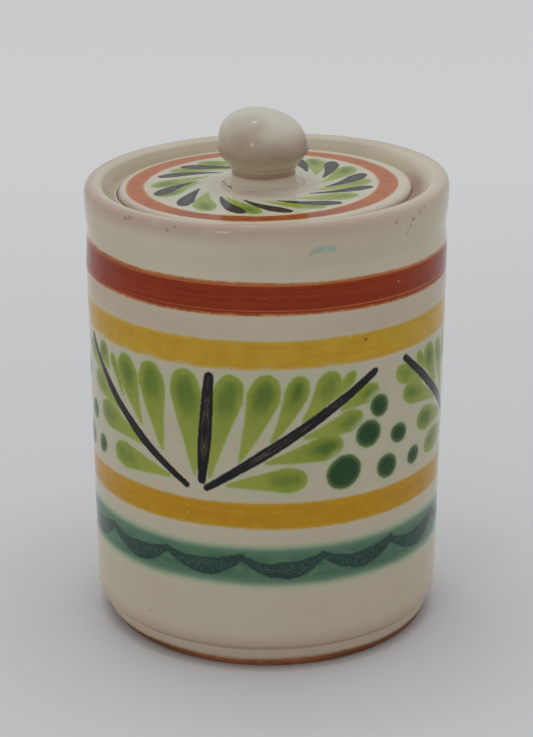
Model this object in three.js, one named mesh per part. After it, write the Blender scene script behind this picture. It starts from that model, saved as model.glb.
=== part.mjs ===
// Glazed earthenware spice jar with a drop-in lid.
// The jar is a wheel-thrown cylinder, a little wider at the top, on a bevelled foot. Its rim was cut
// slightly out of level. Inside it a gallery, a ledge with a sloping wall above it, takes the lid.
// The lid is a flat disc with a mushroom knob luted onto it.
// Millimetres, +Z up, origin at the centre of the foot.

import * as THREE from 'three';

// Jar, outside
const WALL_RADIUS = 38.05; // below the waist
const BASE_RADIUS = 37.2; // above the heel
const JAR_HEIGHT = 96.7; // foot to the crest of the rim
const FOOT_RADIUS = 33.2; // the ring that the jar stands on
const FOOT_RING_WIDTH = 6;
const FOOT_RECESS = 1.2; // turned hollow inside the foot ring
const BEVEL_HEIGHT = 4.35; // foot to the turned line
const BEVEL_RADIUS = 35.9; // at the turned line
const LINE_WIDTH = 0.6; // turned line above the bevel
const LINE_DEPTH = 0.3;
const HEEL_HEIGHT = 2; // rounded heel, from the line to the straight wall

// Jar, rim
const WAIST_BELOW_CREST = 9.2;
const WAIST_DEPTH = 0.45;
const WAIST_BLEND = 8.5; // height over which the wall draws in to the waist
const LIP_FLARE = 0.2; // lip beyond the wall
const LIP_HEIGHT = 2.2; // widest part of the lip to the crest
const CREST_INSET = 1.2; // crest inside the widest part of the lip
const LIP_INNER_DROP = 1;
const LIP_INNER_WIDTH = 2.6;
const RIM_TILT = 0.02; // rise of the rim and the lid to the right, per millimetre across
const TILT_HEIGHT = 16; // height below the gallery over which the wall takes up that tilt

// Jar, inside
const WALL_THICKNESS = 5;
const FLOOR_THICKNESS = 6;
const FLOOR_CORNER_RADIUS = 5;
const SEAT_INSET = 6.4; // seat wall inside the outer wall
const SEAT_WALL_HEIGHT = 1.8;
const LEDGE_WIDTH = 3.6;
const LEDGE_THICKNESS = 4;
const LEDGE_ROUND = 1;
const UNDERCUT_HEIGHT = 7; // slope from the ledge back to the inner wall

// Lid
const LID_CLEARANCE = 0.7; // all round, in the seat
const LID_DROP = 1.7; // lid face below the crest of the rim
const LID_THICKNESS = 4;
const LID_TOP_ROUND = 1.3;
const LID_BOTTOM_ROUND = 0.6;
const LID_RING_OVERHANG = 1.5; // flat ring under the lid, inwards past the ledge
const LID_DISH_DEPTH = 1.2;
const LID_DISH_SLOPE = 2.5;

// Knob
const KNOB_RADIUS = 9.5;
const KNOB_HEIGHT = 16.1; // lid face to the top
const KNOB_WIDEST_HEIGHT = 7.8;
const NECK_RADIUS = 6.6;
const NECK_HEIGHT = 2.3;
const FILLET_RADIUS = 10.5; // foot of the smoothed clay round the neck
const FILLET_EDGE = 0.4;
const KNOB_OFFSET = 0.6; // set on by eye, left of the lid's centre
const HEAD_LEAN = 0.15; // head left of its own neck
const HEAD_TILT = 0.1; // rise of the head to the left, per millimetre across

// Facets
const JAR_FACETS = 64;
const KNOB_FACETS = 40;
const CURVE_STEPS = 4;

// Sizes that follow
const SEAT_RADIUS = WALL_RADIUS - SEAT_INSET;
const LEDGE_RADIUS = SEAT_RADIUS - LEDGE_WIDTH;
const LID_RADIUS = SEAT_RADIUS - LID_CLEARANCE;
const SEAT_HEIGHT = JAR_HEIGHT - LID_DROP - LID_THICKNESS;
const LEDGE_BOTTOM = SEAT_HEIGHT - LEDGE_THICKNESS;

const creamGlaze = { color: 0xd6d0be, roughness: 0.22, metalness: 0 };

/** Revolves a profile of radius and height about the upright axis. */
function turn(profile, facets) {
	const points = profile.getPoints(CURVE_STEPS);
	points.at(-1).x = 0;

	const geometry = new THREE.LatheGeometry(points, facets);
	geometry.rotateX(Math.PI / 2);
	return geometry;
}

/** A sub-part with its own glaze. */
function piece(name, geometry, look) {
	const mesh = new THREE.Mesh(geometry, new THREE.MeshStandardMaterial(look));
	mesh.name = name;
	return mesh;
}

/** The jar's section: foot, bevel and turned line, up the wall, over the rim and down the inside. */
function jarProfile() {
	const footInner = FOOT_RADIUS - FOOT_RING_WIDTH;
	const lineTop = BEVEL_HEIGHT + LINE_WIDTH;
	const heelTop = lineTop + HEEL_HEIGHT;

	const waistHeight = JAR_HEIGHT - WAIST_BELOW_CREST;
	const waistRadius = WALL_RADIUS - WAIST_DEPTH;
	const lipHeight = JAR_HEIGHT - LIP_HEIGHT;
	const lipRadius = WALL_RADIUS + LIP_FLARE;
	const crestRadius = lipRadius - CREST_INSET;

	const undercutBottom = LEDGE_BOTTOM - UNDERCUT_HEIGHT;
	const innerRadius = WALL_RADIUS - WALL_THICKNESS;
	const innerBaseRadius = BASE_RADIUS - WALL_THICKNESS;
	const cornerHeight = FLOOR_THICKNESS + FLOOR_CORNER_RADIUS;

	const section = new THREE.Path();
	section.moveTo(0, FOOT_RECESS);
	section.lineTo(footInner - FOOT_RECESS, FOOT_RECESS);
	section.lineTo(footInner, 0);
	section.lineTo(FOOT_RADIUS, 0);
	section.quadraticCurveTo((FOOT_RADIUS + BASE_RADIUS) / 2, BEVEL_HEIGHT / 4, BEVEL_RADIUS, BEVEL_HEIGHT);
	section.lineTo(BEVEL_RADIUS - LINE_DEPTH, BEVEL_HEIGHT + LINE_WIDTH / 2);
	section.lineTo(BEVEL_RADIUS, lineTop);
	section.quadraticCurveTo(BASE_RADIUS, lineTop, BASE_RADIUS, heelTop);

	section.lineTo(WALL_RADIUS, waistHeight - WAIST_BLEND);
	section.quadraticCurveTo(WALL_RADIUS, waistHeight - WAIST_BLEND / 2, waistRadius, waistHeight);
	section.quadraticCurveTo(lipRadius, (waistHeight + lipHeight) / 2, lipRadius, lipHeight);
	section.absellipse(crestRadius, lipHeight, CREST_INSET, LIP_HEIGHT, 0, Math.PI / 2);
	section.absellipse(
		crestRadius, JAR_HEIGHT - LIP_INNER_DROP, LIP_INNER_WIDTH, LIP_INNER_DROP, Math.PI / 2, Math.PI,
	);

	section.lineTo(SEAT_RADIUS, SEAT_HEIGHT + SEAT_WALL_HEIGHT);
	section.lineTo(SEAT_RADIUS, SEAT_HEIGHT);
	section.lineTo(LEDGE_RADIUS + LEDGE_ROUND, SEAT_HEIGHT);
	section.quadraticCurveTo(LEDGE_RADIUS, SEAT_HEIGHT, LEDGE_RADIUS, SEAT_HEIGHT - LEDGE_ROUND);
	section.lineTo(LEDGE_RADIUS, LEDGE_BOTTOM);
	section.quadraticCurveTo(innerRadius, (LEDGE_BOTTOM + undercutBottom) / 2, innerRadius, undercutBottom);
	section.lineTo(innerBaseRadius, cornerHeight);
	section.absarc(
		innerBaseRadius - FLOOR_CORNER_RADIUS, cornerHeight, FLOOR_CORNER_RADIUS, 0, -Math.PI / 2, true,
	);
	section.lineTo(0, FLOOR_THICKNESS);
	return section;
}

/** The lid disc's section, from the middle of its dished underside out and over to its flat face. */
function lidProfile() {
	const dishRadius = LEDGE_RADIUS - LID_RING_OVERHANG;
	const topRoundHeight = LID_THICKNESS - LID_TOP_ROUND;

	const section = new THREE.Path();
	section.moveTo(0, LID_DISH_DEPTH);
	section.lineTo(dishRadius - LID_DISH_SLOPE, LID_DISH_DEPTH);
	section.lineTo(dishRadius, 0);
	section.lineTo(LID_RADIUS - LID_BOTTOM_ROUND, 0);
	section.quadraticCurveTo(LID_RADIUS, 0, LID_RADIUS, LID_BOTTOM_ROUND);
	section.lineTo(LID_RADIUS, topRoundHeight);
	section.absarc(LID_RADIUS - LID_TOP_ROUND, topRoundHeight, LID_TOP_ROUND, 0, Math.PI / 2);
	section.lineTo(0, LID_THICKNESS);
	return section;
}

/** The knob's section: the fillet round its neck, the neck, and the head that swells over it. */
function knobProfile() {
	const swell = (KNOB_WIDEST_HEIGHT - NECK_HEIGHT) / 2;

	const section = new THREE.Path();
	section.moveTo(0, 0);
	section.lineTo(FILLET_RADIUS, 0);
	section.lineTo(FILLET_RADIUS, FILLET_EDGE);
	section.quadraticCurveTo(NECK_RADIUS, FILLET_EDGE, NECK_RADIUS, NECK_HEIGHT);
	section.bezierCurveTo(
		NECK_RADIUS, NECK_HEIGHT + swell, KNOB_RADIUS, KNOB_WIDEST_HEIGHT - swell, KNOB_RADIUS, KNOB_WIDEST_HEIGHT,
	);
	section.absellipse(0, KNOB_WIDEST_HEIGHT, KNOB_RADIUS, KNOB_HEIGHT - KNOB_WIDEST_HEIGHT, 0, Math.PI / 2);
	return section;
}

/** Leans and tilts the knob's head off its neck, as a knob pulled by hand leans. */
function leanHead(geometry) {
	const position = geometry.getAttribute('position');
	for (let i = 0; i < position.count; i += 1) {
		const across = position.getX(i);
		const height = position.getZ(i);
		const share = THREE.MathUtils.smoothstep(height, NECK_HEIGHT, KNOB_WIDEST_HEIGHT);
		position.setX(i, across - HEAD_LEAN * share);
		position.setZ(i, height - HEAD_TILT * across * share);
	}
	return geometry;
}

/** Tilts a piece to the right as the rim is tilted: from a height up over a blend, or all of it. */
function tiltRim(geometry, from = -Infinity, to = -Infinity) {
	const position = geometry.getAttribute('position');
	for (let i = 0; i < position.count; i += 1) {
		const height = position.getZ(i);
		const share = height >= to ? 1 : THREE.MathUtils.smoothstep(height, from, to);
		position.setZ(i, height + RIM_TILT * position.getX(i) * share);
	}
	return geometry;
}

const jarGeometry = tiltRim(turn(jarProfile(), JAR_FACETS), LEDGE_BOTTOM - TILT_HEIGHT, LEDGE_BOTTOM);
const jar = piece('jar_body', jarGeometry, creamGlaze);

const discGeometry = tiltRim(turn(lidProfile(), JAR_FACETS));
const disc = piece('lid_disc', discGeometry, creamGlaze);

const knobGeometry = leanHead(turn(knobProfile(), KNOB_FACETS));
knobGeometry.translate(-KNOB_OFFSET, 0, LID_THICKNESS);
const knob = piece('lid_knob', tiltRim(knobGeometry), creamGlaze);

const lid = new THREE.Group();
lid.position.z = SEAT_HEIGHT;
lid.add(disc, knob);

const spiceJar = new THREE.Group();
spiceJar.add(jar, lid);

export default spiceJar;
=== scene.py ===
"""Looks of a glazed earthenware spice jar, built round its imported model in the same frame.

The jar, its lid and the knob are turned from sections by one Geometry Nodes tree, as on a potter's
wheel. The brushwork is laid as distance fields on their vertices, and the glaze reads those fields.
Sections and strokes are drawn in millimetres. Meshes are in metres, +Z up, and -Y is the front.
"""

from __future__ import annotations

import logging
import math
from dataclasses import dataclass, field
from enum import Enum
from typing import Any, Iterable, Mapping, Sequence, Union

import bpy
import numpy as np
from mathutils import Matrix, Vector

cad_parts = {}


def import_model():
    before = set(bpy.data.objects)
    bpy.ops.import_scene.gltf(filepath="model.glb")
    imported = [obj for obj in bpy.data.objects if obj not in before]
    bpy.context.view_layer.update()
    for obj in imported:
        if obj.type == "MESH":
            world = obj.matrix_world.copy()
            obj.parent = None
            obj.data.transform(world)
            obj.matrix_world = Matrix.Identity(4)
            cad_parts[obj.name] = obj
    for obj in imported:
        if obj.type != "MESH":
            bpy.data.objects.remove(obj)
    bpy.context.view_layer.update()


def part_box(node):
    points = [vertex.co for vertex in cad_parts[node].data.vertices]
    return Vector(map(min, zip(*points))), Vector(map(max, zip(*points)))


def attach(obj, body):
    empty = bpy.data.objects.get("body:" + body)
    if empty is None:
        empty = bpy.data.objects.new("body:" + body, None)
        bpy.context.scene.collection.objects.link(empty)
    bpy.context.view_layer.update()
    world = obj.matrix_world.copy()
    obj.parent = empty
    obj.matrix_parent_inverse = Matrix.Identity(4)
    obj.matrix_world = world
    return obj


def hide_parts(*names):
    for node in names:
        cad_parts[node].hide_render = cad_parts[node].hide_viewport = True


LOG = logging.getLogger("spice_jar")

MM = 0.001
TO_MM = 1000.0
FULL_TURN = 2 * math.pi

Point = tuple[float, float]
Colour = tuple[float, float, float, float]


def srgb(red: int, green: int, blue: int) -> Colour:
    """Turns an 8-bit screen colour into the linear colour that shaders take.

    Args:
        red: Red, 0 to 255.
        green: Green, 0 to 255.
        blue: Blue, 0 to 255.

    Returns:
        The linear colour, with alpha 1.
    """
    def linear(level: int) -> float:
        """One channel, made linear."""
        share = level / 255
        return share / 12.92 if share <= 0.04045 else ((share + 0.055) / 1.055) ** 2.4

    return linear(red), linear(green), linear(blue), 1.0


def ramp(values: np.ndarray, start: float, end: float) -> np.ndarray:
    """A straight rise, flat before its start and after its end.

    Args:
        values: The places to take it at.
        start: Where it is 0.
        end: Where it is 1, which may be the lower of the two.

    Returns:
        The share of the way from start to end, 0 to 1.
    """
    return np.clip((values - start) / (end - start), 0, 1)


def ease(values: np.ndarray, start: float, end: float) -> np.ndarray:
    """The same rise with soft ends."""
    share = ramp(values, start, end)
    return share * share * (3 - 2 * share)


class Signal:
    """A node's output. Arithmetic on it adds Math nodes to the same tree."""

    def __init__(self, bench: NodeBench, socket: bpy.types.NodeSocket) -> None:
        """Keeps the bench that makes nodes and the socket that this stands for."""
        self.bench = bench
        self.socket = socket

    def out(self, name: str) -> Signal:
        """Another output of the same node."""
        return Signal(self.bench, self.socket.node.outputs[name])

    def math(self, operation: str, first: Operand, second: Operand = 0.0) -> Signal:
        """One Math node on two values."""
        return self.bench.node("ShaderNodeMath", {"operation": operation}, {0: first, 1: second})

    def __add__(self, other: Operand) -> Signal:
        """Sum."""
        return self.math("ADD", self, other)

    def __radd__(self, other: Operand) -> Signal:
        """Sum, from the right."""
        return self.math("ADD", other, self)

    def __sub__(self, other: Operand) -> Signal:
        """Difference."""
        return self.math("SUBTRACT", self, other)

    def __rsub__(self, other: Operand) -> Signal:
        """Difference, from the right."""
        return self.math("SUBTRACT", other, self)

    def __mul__(self, other: Operand) -> Signal:
        """Product."""
        return self.math("MULTIPLY", self, other)

    def __rmul__(self, other: Operand) -> Signal:
        """Product, from the right."""
        return self.math("MULTIPLY", other, self)

    def __truediv__(self, other: Operand) -> Signal:
        """Quotient."""
        return self.math("DIVIDE", self, other)

    def __rtruediv__(self, other: Operand) -> Signal:
        """Quotient, from the right."""
        return self.math("DIVIDE", other, self)

    def __neg__(self) -> Signal:
        """The value with its sign turned."""
        return self.math("MULTIPLY", self, -1.0)

    def __abs__(self) -> Signal:
        """The value without its sign."""
        return self.math("ABSOLUTE", self)

    def least(self, other: Operand) -> Signal:
        """The smaller of two values."""
        return self.math("MINIMUM", self, other)

    def most(self, other: Operand) -> Signal:
        """The larger of two values."""
        return self.math("MAXIMUM", self, other)

    def hypot(self, other: Signal) -> Signal:
        """The length of two sides at a right angle."""
        return self.math("SQRT", self * self + other * other)

    def swing(self, amount: Operand) -> Signal:
        """A value from 0 to 1, centred on 0 and spread over an amount."""
        return (self - 0.5) * amount

    def step(self, start: Operand, end: Operand) -> Signal:
        """A smooth step, flat before its start and after its end.

        Args:
            start: Where it is 0.
            end: Where it is 1, which may be the lower of the two.

        Returns:
            The step, 0 to 1.
        """
        return self.bench.node(
            "ShaderNodeMapRange",
            {"interpolation_type": "SMOOTHSTEP"},
            {"Value": self, "From Min": start, "From Max": end},
        )


Operand = Union[Signal, float, Sequence[float], bpy.types.ID, str]


class NodeBench:
    """Makes the nodes of one shader or geometry tree."""

    SPECK_SIZES = (-0.3, 1.2)
    SPECK_CORE = 0.45
    SPECK_CUT = 0.01

    def __init__(self, tree: bpy.types.NodeTree) -> None:
        """Takes the tree and empties it."""
        self.tree = tree
        tree.nodes.clear()

    def node(
        self,
        kind: str,
        settings: Mapping[str, Any] | None = None,
        inputs: Mapping[Union[int, str], Operand] | None = None,
        output: Union[int, str] = 0,
    ) -> Signal:
        """Adds a node, sets it up, then fills its sockets.

        Args:
            kind: The node's type.
            settings: The node's own properties, such as a Math node's operation.
            inputs: Values or links, by socket name or number.
            output: The output to hand back.

        Returns:
            The asked output, or a signal on the node's first input where it has no output.
        """
        made = self.tree.nodes.new(kind)
        for name, value in (settings or {}).items():
            setattr(made, name, value)
        for name, value in (inputs or {}).items():
            socket = made.inputs[name]
            if isinstance(value, Signal):
                self.tree.links.new(value.socket, socket)
            else:
                socket.default_value = value
        return Signal(self, made.outputs[output] if made.outputs else made.inputs[0])

    def attribute(self, name: str) -> Signal:
        """A number stored on the mesh's points."""
        return self.node("ShaderNodeAttribute", {"attribute_name": name}, output="Fac")

    def noise(self, place: Signal, scale: float, detail: float = 2.0, roughness: float = 0.5) -> Signal:
        """Soft noise.

        Args:
            place: Coordinates.
            scale: Features for each unit of the coordinates.
            detail: Number of finer layers.
            roughness: Strength of the finer layers.

        Returns:
            The noise, about 0 to 1.
        """
        return self.node(
            "ShaderNodeTexNoise",
            inputs={"Vector": place, "Scale": scale, "Detail": detail, "Roughness": roughness},
        )

    def stretched(self, place: Signal, scale: Sequence[float]) -> Signal:
        """The place with each axis scaled by itself."""
        return self.node("ShaderNodeVectorMath", {"operation": "MULTIPLY"}, {0: place, 1: scale})

    def mix(self, under: Operand, over: Operand, mask: Operand) -> Signal:
        """One colour laid over another.

        Args:
            under: The lower colour.
            over: The upper colour.
            mask: 1 where the upper colour shows.

        Returns:
            The mixed colour.
        """
        return self.node(
            "ShaderNodeMix", {"data_type": "RGBA"}, {0: mask, 6: under, 7: over}, output=2,
        )

    def specks(self, place: Signal, cell: float, radius: float, share: float) -> Signal:
        """Scattered round specks.

        Args:
            place: Coordinates in metres.
            cell: Spacing of the places where a speck may lie, in mm.
            radius: Radius of the largest speck, in mm.
            share: Share of those places that hold one.

        Returns:
            A mask that is 1 in a speck.
        """
        cells = self.node("ShaderNodeTexVoronoi", inputs={"Vector": place, "Scale": TO_MM / cell})
        draw = self.node("ShaderNodeSeparateColor", inputs={0: cells.out("Color")})
        size = radius / cell * draw.out("Green").step(*self.SPECK_SIZES)
        held = draw.out("Red").step(1 - share, 1 - share + self.SPECK_CUT)
        return cells.out("Distance").step(size, size * self.SPECK_CORE) * held


class Field(Enum):
    """The numbers that are stored on a mesh's points."""

    THIN_GLAZE = "thin_glaze"
    THROWN = "thrown"
    LEAF = "leaf"
    DOT = "dot"
    STEM = "stem"
    SCALLOP = "scallop"
    SMEAR = "smear"
    CRACK = "crack"

    def part(self, name: str) -> str:
        """The name of one of the numbers that a brush stroke leaves: edge, run or tint."""
        return f"{self.value}_{name}"


class Section:
    """A turned section: radius and height in mm, with the point spacing of each stretch."""

    def __init__(self, radius: float, height: float) -> None:
        """Starts the section at a point."""
        self.points: list[Point] = [(radius, height)]

    def line(self, radius: float, height: float, step: float) -> Section:
        """Draws a straight stretch.

        Args:
            radius: Radius of its end.
            height: Height of its end.
            step: Spacing of the points.

        Returns:
            The section itself.
        """
        start = self.points[-1]
        count = max(1, round(math.dist(start, (radius, height)) / step))
        for i in range(1, count + 1):
            share = i / count
            self.points.append((
                start[0] + (radius - start[0]) * share,
                start[1] + (height - start[1]) * share,
            ))
        return self

    def ellipse(
        self, centre: Point, radii: Point, start: float, end: float, step: float, power: float = 2.0,
    ) -> Section:
        """Draws a stretch of an upright ellipse.

        Args:
            centre: Its centre.
            radii: Its half width and half height.
            start: First angle in quarter turns, from outwards towards up.
            end: Last angle in quarter turns.
            step: Spacing of the points.
            power: 2 for a true ellipse, and more for one with fuller shoulders.

        Returns:
            The section itself.
        """
        def full(share: float) -> float:
            """A sine or cosine, drawn out towards the shoulders."""
            return math.copysign(abs(share) ** (2 / power), share)

        sweep = (end - start) * math.pi / 2
        count = max(3, round(abs(sweep) * max(radii) / step))
        for i in range(1, count + 1):
            angle = start * math.pi / 2 + sweep * i / count
            self.points.append((
                centre[0] + radii[0] * full(math.cos(angle)),
                centre[1] + radii[1] * full(math.sin(angle)),
            ))
        return self

    def curve(self, controls: Sequence[Point], end: Point, step: float) -> Section:
        """Draws a Bezier stretch.

        Args:
            controls: One or two control points.
            end: Its end point.
            step: Spacing of the points.

        Returns:
            The section itself.
        """
        corners = np.array([self.points[-1], *controls, end])
        count = max(3, round(math.dist(self.points[-1], end) / step))
        degree = len(corners) - 1
        for i in range(1, count + 1):
            share = i / count
            weights = [
                math.comb(degree, k) * share**k * (1 - share) ** (degree - k) for k in range(degree + 1)
            ]
            radius, height = np.array(weights) @ corners
            self.points.append((float(radius), float(height)))
        return self

    def sides(self) -> tuple[np.ndarray, np.ndarray]:
        """The points' radii and their heights."""
        radii, heights = np.array(self.points).T
        return radii, heights

    def mesh(
        self, name: str, thin: Sequence[float], thrown: Sequence[float] | None = None,
    ) -> bpy.types.Mesh:
        """Turns the section into a chain of edges in the XZ plane.

        Args:
            name: The mesh's name.
            thin: How thin the glaze is at each point, 0 to 1.
            thrown: How strongly the throwing marks show at each point, 0 to 1, or None for no marks.

        Returns:
            The chain, with both stored on its points.
        """
        chain = bpy.data.meshes.new(name)
        points = [(max(radius, 0.0) * MM, 0.0, height * MM) for radius, height in self.points]
        chain.from_pydata(points, [(i, i + 1) for i in range(len(points) - 1)], [])
        for label, values in ((Field.THIN_GLAZE.value, thin), (Field.THROWN.value, thrown)):
            stored = chain.attributes.new(label, "FLOAT", "POINT")
            if values is not None:
                stored.data.foreach_set("value", values)
        return chain


@dataclass(frozen=True)
class Turning:
    """How a section is turned: its facets and the marks that the potter's fingers leave."""

    facets: int
    ring_pitch: float = 6.0
    ring_depth: float = 0.0
    wobble: float = 0.0
    seed: float = 0.0


class Wheel:
    """The Geometry Nodes tree that turns a section, with a spiral of throwing rings."""

    INPUTS = {
        "Facets": "NodeSocketInt",
        "Ring Pitch": "NodeSocketFloat",
        "Ring Depth": "NodeSocketFloat",
        "Wobble": "NodeSocketFloat",
        "Seed": "NodeSocketFloat",
        "Glaze": "NodeSocketMaterial",
    }
    WOBBLE_SCALE = 1.3
    WOBBLE_RISE = 30
    SEAM = 1e-6

    def __init__(self) -> None:
        """Builds the tree once, for every turned piece."""
        self.tree = bpy.data.node_groups.new("potters_wheel", "GeometryNodeTree")
        face = self.tree.interface
        face.new_socket("Geometry", in_out="INPUT", socket_type="NodeSocketGeometry")
        self.sockets = {
            name: face.new_socket(name, in_out="INPUT", socket_type=kind).identifier
            for name, kind in self.INPUTS.items()
        }
        face.new_socket("Geometry", in_out="OUTPUT", socket_type="NodeSocketGeometry")
        self._wire(NodeBench(self.tree))

    def _wire(self, bench: NodeBench) -> None:
        """Wires the tree: a grid is rolled up round Z, and each of its rows takes a section point.

        Args:
            bench: The bench on the empty tree.
        """
        given = bench.node("NodeGroupInput", output="Geometry")
        rows = bench.node(
            "GeometryNodeAttributeDomainSize", {"component": "MESH"}, {0: given}, output="Point Count",
        )
        last_row = rows - 1
        grid = bench.node(
            "GeometryNodeMeshGrid",
            inputs={
                "Size X": FULL_TURN,
                "Size Y": last_row,
                "Vertices X": given.out("Facets") + 1,
                "Vertices Y": rows,
            },
        )
        place = bench.node("GeometryNodeInputPosition")
        flat = bench.node("ShaderNodeSeparateXYZ", inputs={0: place})
        angle = flat.out("X")
        row = flat.out("Y") + last_row / 2 + 0.5
        point = bench.node(
            "GeometryNodeSampleIndex",
            {"data_type": "FLOAT_VECTOR"},
            {"Geometry": given, "Value": place, "Index": row},
        )
        section = bench.node("ShaderNodeSeparateXYZ", inputs={0: point})
        height = section.out("Z")
        stored = {
            name: bench.node(
                "GeometryNodeSampleIndex",
                {"data_type": "FLOAT"},
                {
                    "Geometry": given,
                    "Value": bench.node("GeometryNodeInputNamedAttribute", inputs={"Name": name.value}),
                    "Index": row,
                },
            )
            for name in (Field.THIN_GLAZE, Field.THROWN)
        }

        sine = angle.math("SINE", angle)
        cosine = angle.math("COSINE", angle)
        turns = height / given.out("Ring Pitch") * FULL_TURN + angle
        rings = turns.math("SINE", turns) * given.out("Ring Depth")
        rise = height * self.WOBBLE_RISE
        round_place = bench.node("ShaderNodeCombineXYZ", inputs={0: sine, 1: cosine, 2: rise})
        noise = bench.node(
            "ShaderNodeTexNoise",
            {"noise_dimensions": "4D"},
            {"Vector": round_place, "W": given.out("Seed"), "Scale": self.WOBBLE_SCALE, "Detail": 1.0},
        )
        marks = (rings + noise.swing(given.out("Wobble"))) * stored[Field.THROWN]
        radius = section.out("X") + marks
        rolled = bench.node(
            "ShaderNodeCombineXYZ", inputs={0: radius * sine, 1: -(radius * cosine), 2: height},
        )
        kept = bench.node(
            "GeometryNodeStoreNamedAttribute",
            {"data_type": "FLOAT", "domain": "POINT"},
            {"Geometry": grid, "Name": Field.THIN_GLAZE.value, "Value": stored[Field.THIN_GLAZE]},
        )
        shaped = bench.node("GeometryNodeSetPosition", inputs={"Geometry": kept, "Position": rolled})
        closed = bench.node(
            "GeometryNodeMergeByDistance", inputs={"Geometry": shaped, "Distance": self.SEAM},
        )
        smooth = bench.node("GeometryNodeSetShadeSmooth", inputs={"Geometry": closed})
        real = bench.node("GeometryNodeRealizeInstances", inputs={"Geometry": smooth})
        glazed = bench.node(
            "GeometryNodeSetMaterial", inputs={"Geometry": real, "Material": given.out("Glaze")},
        )
        bench.node("NodeGroupOutput", inputs={0: glazed})

    def turn(
        self, chain: bpy.types.Mesh, turning: Turning, glaze: bpy.types.Material,
    ) -> bpy.types.Object:
        """Turns a section into a plain mesh object.

        Args:
            chain: The section, as a chain of edges.
            turning: Facets and throwing marks.
            glaze: The material of the whole piece.

        Returns:
            The piece, linked to the scene, at the origin.
        """
        piece = bpy.data.objects.new(chain.name, chain)
        bpy.context.scene.collection.objects.link(piece)
        wheel = piece.modifiers.new("wheel", "NODES")
        wheel.node_group = self.tree
        values = {
            "Facets": turning.facets,
            "Ring Pitch": turning.ring_pitch * MM,
            "Ring Depth": turning.ring_depth * MM,
            "Wobble": turning.wobble * MM,
            "Seed": turning.seed,
            "Glaze": glaze,
        }
        for name, value in values.items():
            wheel[self.sockets[name]] = value
        depsgraph = bpy.context.evaluated_depsgraph_get()
        turned = bpy.data.meshes.new_from_object(piece.evaluated_get(depsgraph), depsgraph=depsgraph)
        piece.modifiers.remove(wheel)
        piece.data = turned
        turned.name = chain.name + "_turned"
        return piece


def vertices_mm(piece: bpy.types.Object) -> np.ndarray:
    """Reads a piece's vertices.

    Args:
        piece: The piece.

    Returns:
        One row for each vertex, in mm.
    """
    places = np.empty(len(piece.data.vertices) * 3, np.float32)
    piece.data.vertices.foreach_get("co", places)
    return places.reshape(-1, 3).astype(float) * TO_MM


def move_vertices(piece: bpy.types.Object, places: np.ndarray) -> None:
    """Puts a piece's vertices at new places, given in mm."""
    piece.data.vertices.foreach_set("co", (places * MM).astype(np.float32).ravel())
    piece.data.update()


@dataclass(frozen=True)
class RimTilt:
    """The rim cut out of level: its rise to the right per mm across, taken up over a stretch of wall."""

    low: float
    high: float
    slope: float

    def lean(self, piece: bpy.types.Object) -> None:
        """Tilts a piece, fully above the stretch and not at all below it.

        Args:
            piece: The piece.
        """
        places = vertices_mm(piece)
        places[:, 2] += self.slope * places[:, 0] * ease(places[:, 2], self.low, self.high)
        move_vertices(piece, places)


@dataclass(frozen=True)
class Stroke:
    """One pull of a loaded brush on the flattened surface, in mm."""

    start: Point
    end: Point
    start_width: float
    belly_width: float
    end_width: float
    belly_at: float = 0.7
    bow: float = 0.0
    tint: float = 0.5

    DISC_STEP = 0.2

    def discs(self) -> tuple[np.ndarray, np.ndarray, np.ndarray]:
        """Discs whose union is the stroke.

        Returns:
            Their centres, their radii, and their share of the way along the stroke.
        """
        count = max(8, round(math.dist(self.start, self.end) / self.DISC_STEP))
        share = np.linspace(0, 1, count)
        start, end = np.array(self.start), np.array(self.end)
        along = end - start
        across = np.array((-along[1], along[0]))
        centres = start + share[:, None] * along + (4 * self.bow * share * (1 - share))[:, None] * across
        fall = (1 - share) / (1 - self.belly_at)
        swell = np.where(share < self.belly_at, share / self.belly_at, fall * (2 - fall))
        ends = np.where(share < self.belly_at, self.start_width, self.end_width)
        return centres, (ends + (self.belly_width - ends) * swell) / 2, share


class Brushwork:
    """Strokes laid on a piece, as the distance of each vertex to the nearest stroke's edge.

    REACH is how far past a stroke the distance is kept, and FAR is a place that no stroke reaches.
    """

    REACH = 4.0
    FAR = 200.0

    def __init__(self, places: np.ndarray, period: float = 0.0) -> None:
        """Takes the vertices' flat places in mm, and the length round a wall that closes on itself.

        Args:
            places: One row for each vertex.
            period: Length after which the first coordinate repeats, or 0.
        """
        self.places = places
        self.period = period
        self.edge = np.full(len(places), self.REACH)
        self.run = np.zeros(len(places))
        self.tint = np.full(len(places), 0.5)

    def lay(self, strokes: Iterable[Stroke]) -> Brushwork:
        """Adds strokes to the field.

        Args:
            strokes: The strokes, where a later one gives way to an earlier one that covers it more.

        Returns:
            The brushwork itself.
        """
        for stroke in strokes:
            centres, radii, share = stroke.discs()
            middle = centres.mean(axis=0)
            offset = self.places - middle
            if self.period:
                offset[:, 0] = (offset[:, 0] + self.period / 2) % self.period - self.period / 2
            reach = np.abs(centres - middle).max(axis=0) + radii.max() + self.REACH
            near = np.flatnonzero((np.abs(offset) < reach).all(axis=1))
            gaps = np.linalg.norm(offset[near, None, :] - (centres - middle)[None], axis=2) - radii
            best = gaps.argmin(axis=1)
            gap = gaps[np.arange(len(near)), best]
            closer = gap < self.edge[near]
            chosen = near[closer]
            self.edge[chosen] = gap[closer]
            self.run[chosen] = share[best[closer]]
            self.tint[chosen] = stroke.tint
        return self

    def store(self, mesh: bpy.types.Mesh, name: Field) -> None:
        """Stores the edge distance, the share along and the tint on the mesh's points.

        Args:
            mesh: The mesh.
            name: What the strokes are.
        """
        for part, values in (("edge", self.edge), ("run", self.run), ("tint", self.tint)):
            stored = mesh.attributes.new(name.part(part), "FLOAT", "POINT")
            stored.data.foreach_set("value", values)


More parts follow.
